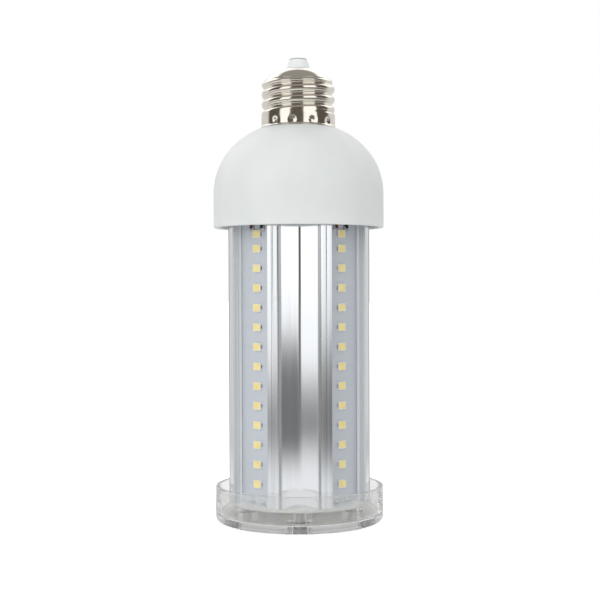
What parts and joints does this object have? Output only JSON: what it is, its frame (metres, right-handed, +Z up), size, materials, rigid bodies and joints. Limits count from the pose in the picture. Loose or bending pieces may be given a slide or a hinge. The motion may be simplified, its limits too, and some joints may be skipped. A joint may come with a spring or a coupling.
{
  "type": "corn cob led bulb",
  "caption": "Corn cob LED bulb: screw base and white dome over a fluted aluminium column with LED strips, standing on a clear plastic end cap",
  "frame": {"origin": "centre of the clear cap's flat underside, on the table that the lamp stands on", "axes": "+Z up along the lamp axis to the screw base; a flute faces -Y, the front; +X to the right"},
  "size_m": [0.0608, 0.0608, 0.1651],
  "materials": {
    "clear_plastic": "clear moulded plastic, polished",
    "aluminium": "bright extruded aluminium with polished flutes",
    "board_white": "white solder mask on an aluminium board",
    "led_body": "white moulded LED body",
    "phosphor": "pale yellow phosphor",
    "housing_white": "white moulded plastic, satin",
    "nickel": "nickel plated, bright",
    "insulator_white": "white moulded plastic",
    "solder": "bright solder",
    "screw_steel": "zinc plated steel",
    "board_green": "green glass-fibre board",
    "ferrite": "dark ferrite",
    "coil_tape": "coil under yellow tape",
    "can_black": "black sleeved can",
    "film_box": "moulded film capacitor",
    "chip_black": "black moulded package",
    "fuse_body": "lacquered resistor",
    "lead_red": "red insulated lead",
    "lead_black": "black insulated lead",
    "lead_white": "white insulated lead"
  },
  "bodies": {
    "root": {"base_insulator": "insulator_white", "board_screws": "screw_steel", "bridge_rectifier": "chip_black", "bulk_capacitor": "can_black", "cap_screws": "screw_steel", "centre_contact": "nickel", "clear_cap": "clear_plastic", "driver_board": "board_green", "driver_chip": "chip_black", "driver_housing": "housing_white", "end_board": "board_white", "end_led_packages": "led_body", "end_led_phosphor": "phosphor", "film_capacitor": "film_box", "fuse_resistor": "fuse_body", "heat_sink": "aluminium", "housing_plate": "housing_white", "led_board_1": "board_white", "led_board_2": "board_white", "led_board_3": "board_white", "led_board_4": "board_white", "led_leads_black": "lead_black", "led_leads_red": "lead_red", "led_packages_1": "led_body", "led_packages_2": "led_body", "led_packages_3": "led_body", "led_packages_4": "led_body", "led_phosphor_1": "phosphor", "led_phosphor_2": "phosphor", "led_phosphor_3": "phosphor", "led_phosphor_4": "phosphor", "line_choke": "ferrite", "live_lead": "lead_black", "neutral_lead": "lead_white", "output_capacitor": "can_black", "plate_screws": "screw_steel", "screw_shell": "nickel", "strip_solder_foot": "solder", "strip_solder_top": "solder", "transformer_coil": "coil_tape", "transformer_core": "ferrite"}
  },
  "joints": []
}
